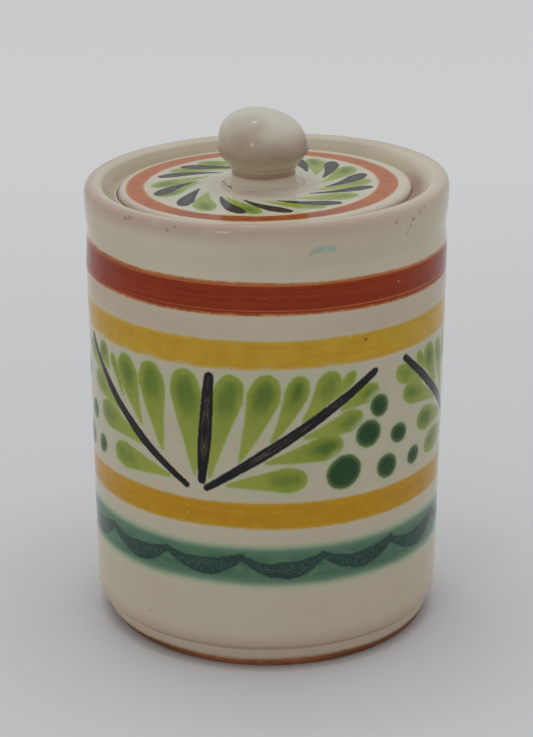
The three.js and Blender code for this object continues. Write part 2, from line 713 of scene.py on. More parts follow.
@dataclass(frozen=True)
class Hand:
    """How far the painter's hand strays from stroke to stroke."""

    seed: int
    places: float = 0.35
    lengths: float = 0.05
    angles: float = 2.5

    def draws(self) -> np.random.Generator:
        """A fresh run of seeded random draws."""
        return np.random.default_rng(self.seed)


@dataclass(frozen=True)
class LeafRow:
    """The leaves along one side of a stem, from its foot to its head, in mm and degrees."""

    shares: tuple[float, ...]
    lengths: tuple[float, ...]
    widths: tuple[float, ...]
    spread: float


@dataclass(frozen=True)
class Frieze:
    """Sprays of three brush stems with comma leaves beside them, and dots in the bays, in mm.

    Places are taken from a spray's root, at the lower edge of the frieze. A dot is its place and width.
    """

    low: float
    high: float
    length: float
    sprays: int = 3
    shift: float = -14.5
    stem_widths: tuple[float, float, float] = (2.5, 2.1, 2.9)
    right_stem: tuple[Point, Point] = ((2.0, 2.2), (37.5, 26.4))
    left_stem: tuple[Point, Point] = ((-2.4, 2.6), (-33.0, 27.0))
    middle_stem: tuple[Point, Point] = ((0.4, 4.2), (3.0, 26.8))
    upper: LeafRow = LeafRow(
        shares=(0.22, 0.40, 0.58, 0.76), lengths=(21.0, 17.6, 13.4, 9.0),
        widths=(6.7, 6.2, 5.5, 4.2), spread=48.0,
    )
    lower: LeafRow = LeafRow(
        shares=(0.10, 0.32, 0.54, 0.76), lengths=(18.6, 16.8, 14.0, 10.4),
        widths=(5.9, 5.6, 5.0, 4.2), spread=34.0,
    )
    beside_middle: LeafRow = LeafRow(shares=(0.04,), lengths=(23.4,), widths=(6.9,), spread=10.0)
    leaf_gap: float = 1.6
    leaf_margin: float = 0.5
    leaf_space: float = 0.7
    least_leaf_width: float = 2.4
    leaf_tail: float = 0.8
    closing: float = 0.95
    dots: tuple[tuple[float, float, float], ...] = (
        (30.8, 4.9, 8.0), (36.2, 12.0, 6.5), (39.6, 18.6, 5.1),
        (41.8, 4.3, 5.8), (45.6, 10.8, 4.7), (50.0, 4.3, 4.3),
    )
    hand: Hand = Hand(seed=11)

    def strokes(self) -> dict[Field, list[Stroke]]:
        """The frieze's strokes on the wall, as arc length and height.

        Returns:
            Leaves, stems and dots.
        """
        draws = self.hand.draws()
        laid: dict[Field, list[Stroke]] = {Field.LEAF: [], Field.STEM: [], Field.DOT: []}
        pitch = self.length / self.sprays
        for k in range(self.sprays):
            root = self.shift + k * pitch
            stems = (self.right_stem, self.left_stem, self.middle_stem)
            for lean, (foot, head), wide in zip((1, -1, 0), stems, self.stem_widths):
                start, end = self._spot(root, foot, draws), self._spot(root, head, draws)
                wide = wide * draws.uniform(0.94, 1.06)
                laid[Field.STEM].append(Stroke(
                    start, end,
                    start_width=wide * 0.62, belly_width=wide, end_width=wide * 0.7, belly_at=0.35,
                    bow=lean * draws.uniform(-0.025, 0.005), tint=draws.uniform(0, 1),
                ))
                for side in (1, -1):
                    row = self.beside_middle if not lean else self.upper if side == lean else self.lower
                    laid[Field.LEAF] += self._leaves(start, end, side, row, draws)
            laid[Field.DOT] += [
                self._dot(self._spot(root, (across, up), draws), wide, draws)
                for across, up, wide in self.dots
            ]
        return laid

    def _spot(self, root: float, place: Point, draws: np.random.Generator) -> Point:
        """A place near the one that was meant."""
        across, up = draws.normal(0, self.hand.places, 2)
        return root + place[0] + across, self.low + place[1] + up

    def _leaves(
        self, start: Point, end: Point, side: int, row: LeafRow, draws: np.random.Generator,
    ) -> list[Stroke]:
        """The leaves on one side of a stem, close to it at its head and spread at its foot.

        Args:
            start: The stem's foot.
            end: The stem's head.
            side: 1 for the left side, as seen along the stem, and -1 for the right.
            row: The leaves.
            draws: The painter's random draws.

        Returns:
            The leaf strokes, from the stem outwards.
        """
        stem_angle = math.atan2(end[1] - start[1], end[0] - start[0])
        away = stem_angle + side * math.pi / 2
        leaves = []
        for share, length, wide in zip(row.shares, row.lengths, row.widths):
            spread = row.spread * (1 - self.closing * share) + draws.normal(0, self.hand.angles)
            aim = stem_angle + side * math.radians(spread)
            root = (
                start[0] + (end[0] - start[0]) * share + self.leaf_gap * math.cos(away),
                start[1] + (end[1] - start[1]) * share + self.leaf_gap * math.sin(away),
            )
            reach = length * (1 + draws.normal(0, self.hand.lengths)) - wide / 2
            room = self.high - self.leaf_margin - wide / 2 - root[1]
            if reach * math.sin(aim) > room:
                reach = max(room, 1.0) / math.sin(aim)
            tip = (root[0] + reach * math.cos(aim), root[1] + reach * math.sin(aim))
            wide = wide * draws.uniform(0.93, 1.07)
            if leaves:
                free = 2 * (math.dist(tip, leaves[-1].end) - self.leaf_space) - leaves[-1].belly_width
                wide = min(wide, max(free, self.least_leaf_width))
            leaves.append(Stroke(
                root, tip,
                start_width=self.leaf_tail, belly_width=wide, end_width=wide * 0.84, belly_at=0.86,
                bow=-side * draws.uniform(0.0, 0.05), tint=draws.uniform(0, 1),
            ))
        return leaves

    def _dot(self, place: Point, wide: float, draws: np.random.Generator) -> Stroke:
        """One dabbed dot, a little longer one way than the other.

        Args:
            place: Its middle.
            wide: Its width.
            draws: The painter's random draws.

        Returns:
            The dot, as a short stroke.
        """
        stretch = wide * draws.uniform(0.03, 0.1)
        turn = draws.uniform(0, math.pi)
        across, up = stretch * math.cos(turn), stretch * math.sin(turn)
        return Stroke(
            (place[0] - across, place[1] - up), (place[0] + across, place[1] + up),
            start_width=wide * 0.86, belly_width=wide * 0.92, end_width=wide * 0.84, belly_at=0.5,
            tint=draws.uniform(0, 1),
        )


@dataclass(frozen=True)
class Wreath:
    """A whorl of slanted strokes on the lid, green and dark by turns, in mm."""

    inner: float
    outer: float
    centre: Point
    pairs: int = 12
    sweep: float = 30.0
    leaf_width: float = 4.9
    dark_width: float = 3.5
    tail_width: float = 0.5
    hand: Hand = Hand(seed=23)

    def strokes(self) -> dict[Field, list[Stroke]]:
        """The wreath's strokes in the lid's plane.

        Returns:
            Green leaves and dark stems.
        """
        draws = self.hand.draws()
        laid: dict[Field, list[Stroke]] = {Field.LEAF: [], Field.STEM: []}
        pitch = 360 / self.pairs
        for k in range(self.pairs):
            for name, lag, wide in (
                (Field.LEAF, 0.0, self.leaf_width),
                (Field.STEM, 0.5, self.dark_width),
            ):
                aim = (k + lag) * pitch + draws.normal(0, self.hand.angles)
                wide = wide * draws.uniform(0.88, 1.1)
                tail = self._spot(self.inner + draws.uniform(0, 1.4), aim)
                head = self._spot(self.outer - wide / 2 - draws.uniform(0.1, 0.8), aim + self.sweep)
                laid[name].append(Stroke(
                    tail, head,
                    start_width=self.tail_width, belly_width=wide, end_width=wide * 0.66, belly_at=0.76,
                    bow=-draws.uniform(0.02, 0.07), tint=draws.uniform(0, 1),
                ))
        return laid

    def _spot(self, radius: float, degrees: float) -> Point:
        """A place at a radius and an angle from the wreath's centre."""
        angle = math.radians(degrees)
        return self.centre[0] + radius * math.cos(angle), self.centre[1] + radius * math.sin(angle)


@dataclass(frozen=True)
class ScallopLine:
    """Hanging arcs, joined at their cusps, along the middle of a band, in mm."""

    low: float
    high: float
    length: float
    arcs: int = 14
    cusp_share: float = 0.76
    first: float = -0.3
    widths: tuple[float, float, float] = (1.3, 3.9, 1.4)
    belly_at: float = 0.52
    bow: float = -0.165
    bow_wander: float = 0.012
    hand: Hand = Hand(seed=5, places=0.2)

    def strokes(self) -> list[Stroke]:
        """The arcs on the wall, as arc length and height.

        Returns:
            One stroke for each arc.
        """
        draws = self.hand.draws()
        pitch = self.length / self.arcs
        cusp = self.low + self.cusp_share * (self.high - self.low)
        first = self.first * pitch
        return [
            Stroke(
                (first + k * pitch, cusp + draws.normal(0, self.hand.places)),
                (first + (k + 1) * pitch, cusp + draws.normal(0, self.hand.places)),
                *self.widths, belly_at=self.belly_at, bow=self.bow + draws.normal(0, self.bow_wander),
            )
            for k in range(self.arcs)
        ]


@dataclass(frozen=True)
class Band:
    """A painted band round the wall, between two heights in mm."""

    low: float
    high: float
    paint: Colour
    deep_paint: Colour
    edge_paint: Colour
    softness: float
    wander: float
    streaky: float
    lean: float = 0.0


@dataclass(frozen=True)
class TinGlaze:
    """The cream glaze, and the clay that shows where it is thin or missing."""

    cream: Colour = srgb(194, 183, 159)
    warm_cream: Colour = srgb(191, 176, 154)
    # Painted light: the paler cream up the wall.
    pale_cream: Colour = srgb(203, 194, 170)
    # Painted light: the cooler, paler cream on the top of the knob's head.
    cool_cream: Colour = srgb(198, 191, 174)
    thin: Colour = srgb(178, 149, 133)
    # Blush on the foot's turned line and on the knob, and painted shade on the knob's right side.
    blush_and_shade: Colour = srgb(160, 135, 117)
    # The knob's seam and turned lines, and painted shade in the gallery's groove.
    seam: Colour = srgb(140, 100, 74)
    # Pooled glaze in the mottle and above the bare foot, and painted shade down the gallery's slope.
    pooled_and_shade: Colour = srgb(170, 155, 124)
    clay: Colour = srgb(168, 100, 63)
    # Darker, gritty clay, and painted shade on the foot's sides.
    clay_dark_and_shade: Colour = srgb(126, 74, 47)
    crack: Colour = srgb(78, 46, 34)
    # Pinholes in the bands, and painted highlights on the lip's inner edge and on the knob's fillet.
    pinhole_and_highlight: Colour = srgb(212, 200, 178)
    speck: Colour = srgb(104, 74, 52)
    roughness: float = 0.11
    clay_roughness: float = 0.85
    refraction: float = 1.31


@dataclass(frozen=True)
class Paints:
    """The brush colours."""

    terracotta: Colour = srgb(146, 49, 3)
    terracotta_deep: Colour = srgb(126, 36, 2)
    terracotta_edge: Colour = srgb(196, 126, 70)
    ring: Colour = srgb(176, 92, 34)
    # Deeper ring paint: brush load, and painted shade on the ring's front.
    ring_deep: Colour = srgb(138, 58, 8)
    ring_edge: Colour = srgb(190, 130, 76)
    ochre: Colour = srgb(197, 157, 42)
    ochre_deep: Colour = srgb(179, 135, 26)
    ochre_edge: Colour = srgb(194, 160, 70)
    deep_ochre: Colour = srgb(192, 144, 20)
    deep_ochre_deep: Colour = srgb(174, 123, 8)
    deep_ochre_edge: Colour = srgb(192, 154, 62)
    teal: Colour = srgb(88, 121, 96)
    teal_deep: Colour = srgb(60, 98, 78)
    teal_edge: Colour = srgb(122, 154, 126)
    scallop: Colour = srgb(32, 52, 52)
    leaf_light: Colour = srgb(148, 157, 66)
    leaf: Colour = srgb(124, 140, 46)
    leaf_deep: Colour = srgb(80, 108, 40)
    leaf_rim: Colour = srgb(156, 168, 92)
    dot: Colour = srgb(36, 68, 38)
    dot_rim: Colour = srgb(84, 112, 56)
    stem: Colour = srgb(24, 21, 25)
    stem_dry: Colour = srgb(98, 84, 74)
    bleed: Colour = srgb(179, 183, 155)
    smear: Colour = srgb(128, 168, 158)


class GlazeShader:
    """A glazed surface under construction: its colour, roughness and relief, laid coat by coat.

    The scales of its noises are in features per metre, and heights and rises are in mm.
    """

    FINE_SCALE = 900
    CLOUD_SCALE = 34
    GRAIN_SCALE = 2600
    BLOT_SCALE = 300
    MOTTLE_SCALE = 190
    SWELL_SCALE = 150
    PATCH_SCALE = 200
    PALE_HEIGHTS = (40, 92)
    SWELL_RISE = 0.06
    FINE_RISE = 0.006
    DRAIN_BACK = -0.75
    DRAIN_RIGHT = 0.65
    DRAIN_SPAN = (-5, 42)

    def __init__(self, name: str, glaze: TinGlaze, paints: Paints) -> None:
        """Starts a material with the bare cream glaze on it.

        Args:
            name: The material's name.
            glaze: The glaze and clay colours.
            paints: The brush colours.
        """
        self.material = bpy.data.materials.new(name)
        self.material.use_nodes = True
        self.bench = NodeBench(self.material.node_tree)
        self.glaze = glaze
        self.paints = paints
        bench = self.bench
        self.place = bench.node("ShaderNodeTexCoord", output="Object")
        axes = bench.node("ShaderNodeSeparateXYZ", inputs={0: self.place})
        self.across = axes.out("X") * TO_MM
        self.depth = axes.out("Y") * TO_MM
        self.height = axes.out("Z") * TO_MM
        self.fine = bench.noise(self.place, scale=self.FINE_SCALE, detail=3)
        self.cloud = bench.noise(self.place, scale=self.CLOUD_SCALE, detail=3)
        self.grain = bench.noise(self.place, scale=self.GRAIN_SCALE, detail=2)
        self.blot = bench.noise(self.place, scale=self.BLOT_SCALE, detail=4, roughness=0.6)
        mottle = bench.noise(self.place, scale=self.MOTTLE_SCALE, detail=4, roughness=0.6)
        # Painted light: the cream is paler up the wall, as the light is brighter near the top.
        pale = self.height.step(*self.PALE_HEIGHTS) * 0.5
        self.colour = bench.mix(glaze.cream, glaze.pale_cream, pale)
        self.colour = bench.mix(self.colour, glaze.warm_cream, self.cloud.step(0.42, 0.7) * 0.6)
        self.colour = bench.mix(self.colour, glaze.pooled_and_shade, mottle.step(0.6, 0.9) * 0.35)
        self.rough: Signal = glaze.roughness + mottle.swing(0.08)
        swell = bench.noise(self.place, scale=self.SWELL_SCALE, detail=2)
        self.relief: Signal = (swell * self.SWELL_RISE + self.fine * self.FINE_RISE) * MM

    def paint(self, colour: Operand, mask: Operand, roughness: float | None = None) -> None:
        """Lays a colour, with its own roughness if it has one.

        Args:
            colour: The colour.
            mask: 1 where it is laid.
            roughness: Its roughness, or None where it takes the glaze's.
        """
        self.colour = self.bench.mix(self.colour, colour, mask)
        if roughness is not None:
            self.rough = self.rough + (roughness - self.rough) * mask

    def emboss(self, mask: Signal, rise: Operand) -> None:
        """Raises the surface by a rise in mm where the mask is 1, or sinks it where that is below 0."""
        self.relief = self.relief + mask * rise * MM

    def thin_edges(self) -> None:
        """Lets the clay's pink show where the glaze drew back from an edge, and pits it there."""
        drained = (self.depth * self.DRAIN_BACK - self.across * self.DRAIN_RIGHT).step(*self.DRAIN_SPAN)
        thin = self.bench.attribute(Field.THIN_GLAZE.value) * (0.34 + 0.52 * drained)
        patchy = self.bench.noise(self.place, scale=self.PATCH_SCALE, detail=3, roughness=0.6)
        self.paint(self.glaze.thin, thin * patchy.step(0.0, 0.45))
        pits = self.bench.specks(self.place, cell=1.9, radius=0.3, share=0.12) * thin
        pits = pits * self.cloud.step(0.42, 0.62)
        self.paint(self.glaze.speck, pits * 0.75)
        self.emboss(pits, -0.04)

    def scatter_specks(self, share: float) -> None:
        """Scatters brown iron specks and small pinholes through the glaze.

        Args:
            share: Share of the places for a speck that hold one.
        """
        specks = self.bench.specks(self.place, cell=4.0, radius=0.36, share=share)
        pinholes = self.bench.specks(self.place, cell=2.4, radius=0.18, share=share)
        self.paint(self.glaze.speck, specks.most(pinholes * 0.8) * 0.5)
        self.emboss(pinholes, -0.05)

    def away_from(self, spot: Sequence[float]) -> Signal:
        """How far the surface is from a place.

        Args:
            spot: The place, in mm.

        Returns:
            The distance in mm.
        """
        away = self.bench.node(
            "ShaderNodeVectorMath",
            {"operation": "DISTANCE"},
            {0: self.place, 1: [value * MM for value in spot]},
            output="Value",
        )
        return away * TO_MM

    def mark(self, spot: Sequence[float], radius: float, strength: float) -> None:
        """Sets one brown fleck in the glaze.

        Args:
            spot: Its place, in mm.
            radius: Its radius, in mm.
            strength: How dark it is, 0 to 1.
        """
        edge = self.away_from(spot) + self.fine.swing(radius) * 2.2 + self.grain.swing(radius)
        self.paint(self.glaze.crack, edge.step(radius * 1.3, radius * 0.4) * strength)

    def streaks(self, scale_round: float, scale_up: float) -> Signal:
        """Noise drawn out round the wall, as a brush leaves on a turning pot.

        Args:
            scale_round: Features per metre round the wall.
            scale_up: Features per metre up the wall.

        Returns:
            The noise, about 0 to 1.
        """
        drawn = self.bench.stretched(self.place, (scale_round, scale_round, scale_up))
        return self.bench.noise(drawn, scale=1.0, detail=3, roughness=0.6)

    def leaves(self) -> None:
        """Lays the green leaf strokes: watery at the tail, deep in the bulb where the brush stopped."""
        bench, paints = self.bench, self.paints
        edge = bench.attribute(Field.LEAF.part("edge")) + self.fine.swing(0.4)
        run = bench.attribute(Field.LEAF.part("run"))
        tint = bench.attribute(Field.LEAF.part("tint"))
        within = -edge
        body = run.step(0.1, 0.9) * 0.6 + (self.blot - 0.5) + tint.swing(0.5)
        green = bench.mix(paints.leaf_light, paints.leaf, body)
        bulb = run.step(0.5, 0.85) * within.step(0.4, 2.4) * (0.4 + 0.8 * tint)
        green = bench.mix(green, paints.leaf_deep, bulb + self.blot.swing(0.8) * run)
        green = bench.mix(paints.leaf_rim, green, within.step(-0.25, 0.5))
        self.paint(paints.bleed, edge.step(2.4, 0.2) * 0.6)
        self.paint(green, edge.step(0.28, -0.24))

    def dots(self) -> None:
        """Lays the dark green dabbed dots."""
        bench, paints = self.bench, self.paints
        edge = bench.attribute(Field.DOT.part("edge")) + self.fine.swing(0.4)
        core = (-edge).step(-0.1, 1.3) + self.blot.swing(0.7)
        self.paint(paints.bleed, edge.step(2.2, 0.1) * 0.6)
        self.paint(bench.mix(paints.dot_rim, paints.dot, core), edge.step(0.4, -0.3))

    def stems(self) -> None:
        """Lays the dark brush stems, with dry streaks along them where the brush ran out."""
        bench, paints = self.bench, self.paints
        edge = bench.attribute(Field.STEM.part("edge")) + self.fine.swing(0.3)
        run = bench.attribute(Field.STEM.part("run"))
        tint = bench.attribute(Field.STEM.part("tint"))
        hairs = bench.node("ShaderNodeCombineXYZ", inputs={0: edge * 3.0, 1: run * 5.0, 2: tint * 40.0})
        gritty = 0.4 + 0.6 * self.grain.step(0.38, 0.6)
        dry = bench.noise(hairs, scale=1.0, detail=3, roughness=0.7).step(0.42, 0.66) * gritty
        spine = edge.step(-0.45, -0.9) * run.step(0.05, 0.25)
        self.paint(bench.mix(paints.stem, paints.stem_dry, dry * spine * 0.85), edge.step(0.2, -0.2))

    def finish(self) -> bpy.types.Material:
        """Wires the shader up.

        Returns:
            The finished material.
        """
        bench = self.bench
        normal = bench.node("ShaderNodeBump", inputs={"Distance": 1.0, "Height": self.relief})
        surface = bench.node(
            "ShaderNodeBsdfPrincipled",
            inputs={
                "Base Color": self.colour,
                "Roughness": self.rough,
                "IOR": self.glaze.refraction,
                "Normal": normal,
            },
        )
        bench.node("ShaderNodeOutputMaterial", inputs={"Surface": surface})
        return self.material


@dataclass
class Jar:
    """The thrown jar: bevelled foot, wall, flared lip and the gallery inside it. Sizes in mm.

    The heights of a band are its lower and upper edge. The pairs from thin_lip to bevel_pool hold where
    a rise is 0 and where it is 1. A fleck is its place round the wall, its height, radius and strength.
    """

    OUTER_MARGIN = 2.0
    OUTER_WEIGHT = 0.1

    wheel: Wheel
    glaze: TinGlaze
    paints: Paints
    base_radius: float = 37.2
    lip_flare: float = 0.2
    foot_radius: float = 33.35
    foot_ring_width: float = 6.0
    foot_recess: float = 1.2
    bevel_height: float = 4.35
    bevel_radius: float = 35.9
    line_width: float = 0.8
    line_depth: float = 0.09
    heel_height: float = 2.0
    waist_below_crest: float = 9.2
    waist_depth: float = 0.45
    waist_blend: float = 8.5
    lip_height: float = 2.2
    crest_inset: float = 1.2
    lip_inner: Point = (2.75, 0.8)
    rim_slope: float = 0.02
    tilt_height: float = 16.0
    wall_thickness: float = 5.0
    floor_thickness: float = 6.0
    floor_corner: float = 5.0
    seat_inset: float = 7.15
    seat_wall: float = 2.85
    valley_width: float = 1.1
    bead_height: float = 0.35
    gallery_offset: float = 0.4
    foot_offset: Point = (0.45, -0.5)
    ledge_width: float = 3.6
    ledge_thickness: float = 4.0
    undercut: float = 7.0
    lid_drop: float = 1.7
    lid_thickness: float = 4.0
    terracotta_heights: Point = (78.4, 85.15)
    ochre_heights: Point = (67.2, 73.2)
    deep_ochre_heights: Point = (32.6, 38.3)
    teal_heights: Point = (20.2, 28.2)
    thin_lip: Point = (-1.8, 1.2)
    thin_crest: float = 1.6
    thin_ledge: float = 4.6
    thin_foot: Point = (2.2, 0.6)
    bead_fade: Point = (-9, 21)
    # groove_right and groove_front place the painted shade in the gallery's groove; shine_right places
    # the painted highlight on the lip's inner edge.
    groove_right: Point = (12, 29)
    groove_front: Point = (16, 2)
    shine_right: Point = (20, 32)
    blush_from: Point = (71.0, 75.0)
    blush_to: Point = (81.0, 77.0)
    glow_from: Point = (4.4, 5.0)
    glow_to: Point = (9.5, 5.5)
    bevel_blush: Point = (4.6, 3.8)
    bevel_pool: Point = (3.4, 0.8)
    bare_height: float = 2.27
    smears: tuple[Stroke, ...] = (
        Stroke((8.8, 91.0), (11.6, 91.6), start_width=0.6, belly_width=1.5, end_width=0.8),
        Stroke((11.4, 90.9), (13.8, 91.5), start_width=0.7, belly_width=1.2, end_width=0.6),
    )
    flecks: tuple[tuple[float, float, float, float], ...] = (
        (-31.5, 94.8, 0.5, 0.45), (-30.2, 95.3, 0.4, 0.4), (-20.5, 94.6, 0.45, 0.35),
        (-18.6, 95.5, 0.3, 0.5), (20.9, 71.7, 0.35, 0.8), (-35.3, 17.6, 0.7, 0.4),
        (-34.4, 12.8, 0.8, 0.35), (28.0, 94.8, 0.5, 0.5), (33.1, 94.4, 0.45, 0.55),
        (32.3, 93.2, 0.35, 0.45), (31.4, 92.1, 0.6, 0.25), (35.6, 95.2, 0.45, 0.45),
        (37.2, 96.1, 0.3, 0.5), (12.4, 14.6, 0.4, 0.3),
    )
    turning: Turning = Turning(facets=384, ring_pitch=7.5, ring_depth=0.035, wobble=0.16, seed=3.0)
    wall_radius: float = field(init=False)
    height: float = field(init=False)
    seat_height: float = field(init=False)
    tilt: RimTilt = field(init=False)

    def __post_init__(self) -> None:
        """Takes the overall sizes from the frame, where the box of the jar includes the rim's tilt."""
        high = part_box("jar_body")[1] * TO_MM
        self.wall_radius = high.x - self.lip_flare
        self.height = high.z - self.rim_slope * (high.x - self.crest_inset)
        self.seat_height = self.height - self.lid_drop - self.lid_thickness
        self.tilt = RimTilt(self.ledge_bottom - self.tilt_height, self.ledge_bottom, self.rim_slope)

    @property
    def crest_radius(self) -> float:
        """Radius of the rim's crest."""
        return self.wall_radius + self.lip_flare - self.crest_inset

    @property
    def lip_edge(self) -> Point:
        """Where the lip ends and the gallery's slope begins."""
        return self.crest_radius - self.lip_inner[0], self.height - self.lip_inner[1]

    @property
    def seat_radius(self) -> float:
        """Radius of the wall round the lid's seat."""
        return self.wall_radius - self.seat_inset

    @property
    def ledge_bottom(self) -> float:
        """Height of the ledge's underside."""
        return self.seat_height - self.ledge_thickness

    @property
    def outer_radius(self) -> float:
        """Radius past which a point lies on the outer wall."""
        return self.base_radius - self.OUTER_MARGIN

    def build(self) -> bpy.types.Object:
        """Turns the jar, lays its brushwork, tilts its rim and hands it to the frame.

        Returns:
            The jar.
        """
        section = self._section()
        chain = section.mesh("jar", self._thin(section), self._thrown(section))
        jar = self.wheel.turn(chain, self.turning, self._material())
        self._brush(jar)
        self._shift_gallery(jar)
        self._shift_foot(jar)
        self.tilt.lean(jar)
        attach(jar, "jar")
        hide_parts("jar_body")
        return jar

    def _section(self) -> Section:
        """Draws the section from under the foot, up the wall, over the rim and down the inside.

        Returns:
            The section, with close points where brushwork lies.
        """
        wall = self.wall_radius
        foot_inner = self.foot_radius - self.foot_ring_width
        line_top = self.bevel_height + self.line_width
        heel_top = line_top + self.heel_height
        waist = self.height - self.waist_below_crest
        straight_top = waist - self.waist_blend
        lip = self.height - self.lip_height
        lip_radius = wall + self.lip_flare
        seat = self.seat_radius
        ledge = seat - self.ledge_width
        undercut_bottom = self.ledge_bottom - self.undercut
        inside = wall - self.wall_thickness
        inside_base = self.base_radius - self.wall_thickness
        corner = self.floor_thickness + self.floor_corner

        drawn = Section(0.0, self.foot_recess)
        drawn.line(foot_inner - self.foot_recess, self.foot_recess, step=5.0)
        drawn.line(foot_inner, 0.0, step=0.8)
        drawn.line(self.foot_radius - 0.5, 0.0, step=1.5)
        drawn.curve([(self.foot_radius, 0.0)], (self.foot_radius + 0.4, 0.3), step=0.15)
        drawn.curve(
            [((self.foot_radius + self.base_radius) / 2, self.bevel_height / 4 + 0.2)],
            (self.bevel_radius, self.bevel_height), step=0.3,
        )
        groove = (self.bevel_radius - self.line_depth, self.bevel_height + self.line_width / 2)
        drawn.curve([(self.bevel_radius, groove[1] - 0.1)], groove, step=0.12)
        line_end = (self.bevel_radius + 0.3, line_top + 0.05)
        drawn.curve([(self.bevel_radius, groove[1] + 0.1)], line_end, step=0.12)
        drawn.curve([(self.base_radius, line_top + 0.2)], (self.base_radius, heel_top), step=0.25)
        for height, step in (
            (self.teal_heights[0] - 2.0, 1.4),
            (self.teal_heights[1] + 2.0, 0.55),
            (self.deep_ochre_heights[1] - 1.0, 1.2),
            (self.ochre_heights[0] + 1.0, 0.52),
            (straight_top, 1.2),
        ):
            share = (height - heel_top) / (straight_top - heel_top)
            drawn.line(self.base_radius + (wall - self.base_radius) * share, height, step)
        drawn.curve([(wall, waist - self.waist_blend / 2)], (wall - self.waist_depth, waist), step=1.0)
        drawn.curve([(lip_radius, (waist + lip) / 2)], (lip_radius, lip), step=0.8)
        drawn.ellipse((self.crest_radius, lip), (self.crest_inset, self.lip_height), 0, 1, step=0.3)
        edge = self.lip_edge
        drawn.curve([(edge[0] + 0.5, self.height)], edge, step=0.25)
        valley = (seat + self.valley_width, self.seat_height + self.seat_wall)
        bead = valley[1] + self.bead_height
        slope = [(edge[0] - 0.45, edge[1] - 0.6), (valley[0] + 0.6, valley[1] + 0.15)]
        drawn.curve(slope, valley, step=0.35)
        drawn.curve([(seat + 0.85, valley[1]), (seat + 0.8, bead)], (seat + 0.45, bead), step=0.2)
        drawn.curve([(seat + 0.05, bead)], (seat, valley[1]), step=0.2)
        drawn.line(seat, self.seat_height + 0.5, step=1.2)
        drawn.curve([(seat, self.seat_height)], (seat - 0.5, self.seat_height), step=0.25)
        drawn.line(ledge + 1.0, self.seat_height, step=1.0)
        drawn.curve([(ledge, self.seat_height)], (ledge, self.seat_height - 1.0), step=0.4)
        drawn.line(ledge, self.ledge_bottom, step=1.2)
        undercut_middle = (self.ledge_bottom + undercut_bottom) / 2
        drawn.curve([(inside, undercut_middle)], (inside, undercut_bottom), step=1.4)
        drawn.line(inside_base, corner, step=5.0)
        corner_centre = (inside_base - self.floor_corner, corner)
        drawn.ellipse(corner_centre, (self.floor_corner,) * 2, 0, -1, step=1.3)
        drawn.line(0.0, self.floor_thickness, step=5.0)
        return drawn

    def _thin(self, section: Section) -> np.ndarray:
        """How thin the glaze is along the section: most over the lip, the ledge and the foot's edge.

        Args:
            section: The jar's section.

        Returns:
            A number for each point, 0 to 1.
        """
        radius, height = section.sides()
        lip, crest = self.height - self.lip_height, self.crest_radius
        low, high = self.thin_lip
        over_lip = ramp(height, lip + low, lip + high) * ramp(radius, crest - self.thin_crest, crest)
        inside_crest = np.minimum(ramp(radius, crest - self.thin_crest, crest - self.thin_ledge), 0.5)
        on_ledge = inside_crest * (height > self.seat_height - 1.2)
        at_foot = ramp(height, *self.thin_foot)
        return np.maximum(np.maximum(over_lip, on_ledge), at_foot)

    def _thrown(self, section: Section) -> np.ndarray:
        """Where throwing marks show: on the wall, fading out towards the foot and the lip.

        Args:
            section: The jar's section.

        Returns:
            A number for each point, 0 to 1.
        """
        fade = 6
        low, high = self.bevel_height + 4.0, self.height - self.waist_below_crest
        _, height = section.sides()
        return ramp(height, low, low + fade) * ramp(height, high, high - fade)

    def _shift_gallery(self, jar: bpy.types.Object) -> None:
        """Moves the gallery to the left, less and less up its slope, and flattens its bead on the right.

        Args:
            jar: The turned jar.
        """
        places = vertices_mm(jar)
        seat, ledge_bottom = self.seat_radius, self.ledge_bottom
        radius = np.hypot(places[:, 0], places[:, 1])
        over_valley = np.clip(places[:, 2] - self.seat_height - self.seat_wall, 0, self.bead_height)
        on_bead = (radius < seat + self.valley_width - 0.05) * over_valley
        places[:, 2] -= on_bead * ramp(places[:, 0], *self.bead_fade)
        inward = ramp(radius, self.lip_edge[0], seat + 0.5)
        raised = ramp(places[:, 2], ledge_bottom - self.undercut, ledge_bottom)
        places[:, 0] -= self.gallery_offset * inward * raised
        move_vertices(jar, places)

    def _shift_foot(self, jar: bpy.types.Object) -> None:
        """Moves the foot off the jar's axis, as it was turned on a second centring, fading up the bevel.

        Args:
            jar: The turned jar.
        """
        places = vertices_mm(jar)
        share = ramp(places[:, 2], self.bevel_height, 0)
        places[:, :2] += share[:, None] * self.foot_offset
        move_vertices(jar, places)

    def _brush(self, jar: bpy.types.Object) -> None:
        """Lays the frieze, the scalloped line and the small marks on the wall.

        Args:
            jar: The turned jar, before any part of it is moved.
        """
        places = vertices_mm(jar)
        round_length = FULL_TURN * self.wall_radius
        arc = np.arctan2(places[:, 0], -places[:, 1]) * self.wall_radius
        outside = np.hypot(places[:, 0], places[:, 1]) > self.outer_radius
        flat = np.column_stack((arc, np.where(outside, places[:, 2], Brushwork.FAR)))
        laid = Frieze(self.deep_ochre_heights[1], self.ochre_heights[0], round_length).strokes()
        laid[Field.SCALLOP] = ScallopLine(*self.teal_heights, round_length).strokes()
        laid[Field.SMEAR] = list(self.smears)
        for name, strokes in laid.items():
            Brushwork(flat, round_length).lay(strokes).store(jar.data, name)

